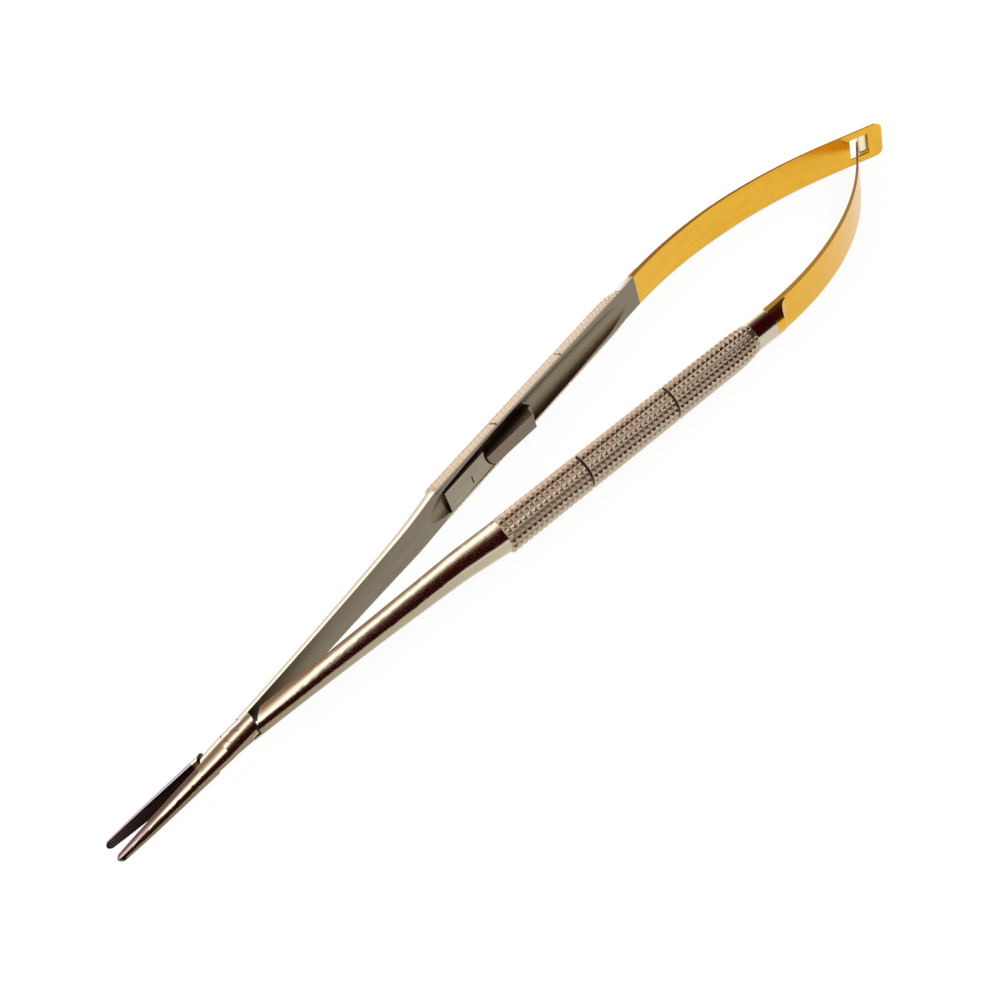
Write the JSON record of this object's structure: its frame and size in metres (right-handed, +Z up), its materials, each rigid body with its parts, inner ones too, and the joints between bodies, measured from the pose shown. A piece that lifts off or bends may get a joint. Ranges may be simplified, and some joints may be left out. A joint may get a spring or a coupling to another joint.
{
  "type": "needle holder",
  "caption": "Micro surgical needle holder: crossed half-round arms with knurled handles, hard-metal jaw inserts, hooked gold leaf springs and an inner catch.",
  "frame": {"origin": "bottom centre of the whole instrument's box as it lies open on a table", "axes": "+X from the jaws along the instrument to the hooked springs, +Y towards the left handle, +Z up, along the pivot's axis"},
  "size_m": [0.179, 0.033, 0.0068],
  "materials": {
    "polished_steel": "polished, knurled handle",
    "polished_steel_right": "polished, knurled handle",
    "pin_steel": "polished flush with the joint",
    "hard_metal": "dark, finely cross-cut",
    "hard_metal_right": "dark, finely cross-cut",
    "gold_spring": "satin gold plating",
    "gold_spring_right": "satin gold plating",
    "catch_steel": "satin",
    "pawl_steel": "satin",
    "pawl_pin_steel": "satin",
    "tooth_steel": "satin"
  },
  "bodies": {
    "left_half": {"left_arm": "polished_steel", "pivot_pin": "pin_steel", "right_jaw_insert": "hard_metal_right", "left_spring": "gold_spring", "catch_block": "catch_steel", "pawl_pin": "pawl_pin_steel"},
    "right_half": {"right_arm": "polished_steel_right", "left_jaw_insert": "hard_metal", "right_spring": "gold_spring_right", "catch_tooth": "tooth_steel"},
    "pawl": {"catch_pawl": "pawl_steel"}
  },
  "joints": [
    {"name": "jaw_hinge", "type": "hinge", "parent": "left_half", "child": "right_half", "pos_m": [-0.06818, 0, 0.00338], "axis": [0, 0, 1], "range_deg": [0, 7.5], "stiffness_Nm_per_rad": 0.6, "springref_deg": -20.05, "deforming": ["left_spring", "right_spring"]},
    {"name": "pawl_hinge", "type": "hinge", "parent": "left_half", "child": "pawl", "pos_m": [-0.0031, 0.00903, 0.00213], "axis": [-0.1227, 0.9924, 0], "range_deg": [0, 3.5], "stiffness_Nm_per_rad": 0.004, "springref_deg": -2.86}
  ]
}
